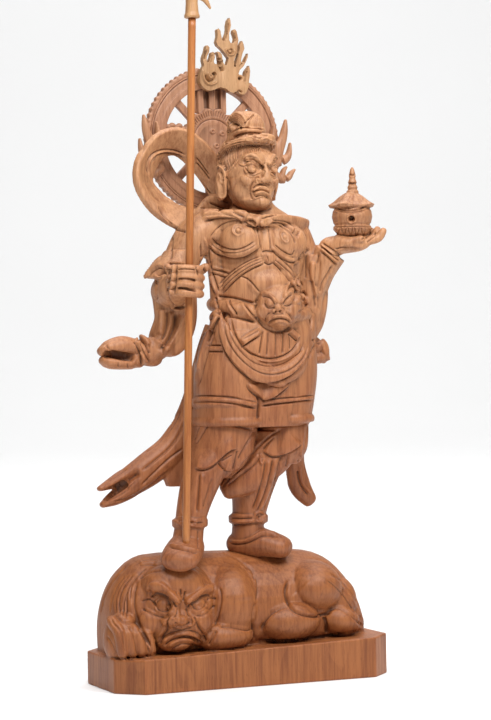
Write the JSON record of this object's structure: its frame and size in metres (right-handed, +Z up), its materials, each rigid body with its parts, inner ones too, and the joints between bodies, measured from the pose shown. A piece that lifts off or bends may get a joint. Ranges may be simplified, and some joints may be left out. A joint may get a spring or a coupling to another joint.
{
  "type": "lokapala figure",
  "caption": "Carved wooden guardian figure with a trident and a small pagoda, a wheel halo behind the head, standing on a crouching demon and its low plinth.",
  "frame": {"origin": "centre of the plinth's underside", "axes": "+Z up along the figure's height, -Y the way the figure and the plinth's long front face, +X towards the figure's left hand, which holds the pagoda"},
  "size_m": [0.125, 0.0559, 0.3154],
  "materials": {
    "demon_wood": "satin",
    "figure_wood": "satin",
    "halo_wood": "satin",
    "flame_wood": "satin",
    "shaft_wood": "polished",
    "trident_wood": "satin",
    "pagoda_wood": "satin"
  },
  "bodies": {
    "root": {"demon_plinth": "demon_wood", "figure": "figure_wood", "halo": "halo_wood", "flame_top": "flame_wood", "flame_left": "flame_wood", "flame_right": "flame_wood", "spear_shaft": "shaft_wood", "spear_head": "trident_wood", "pagoda": "pagoda_wood"}
  },
  "joints": []
}
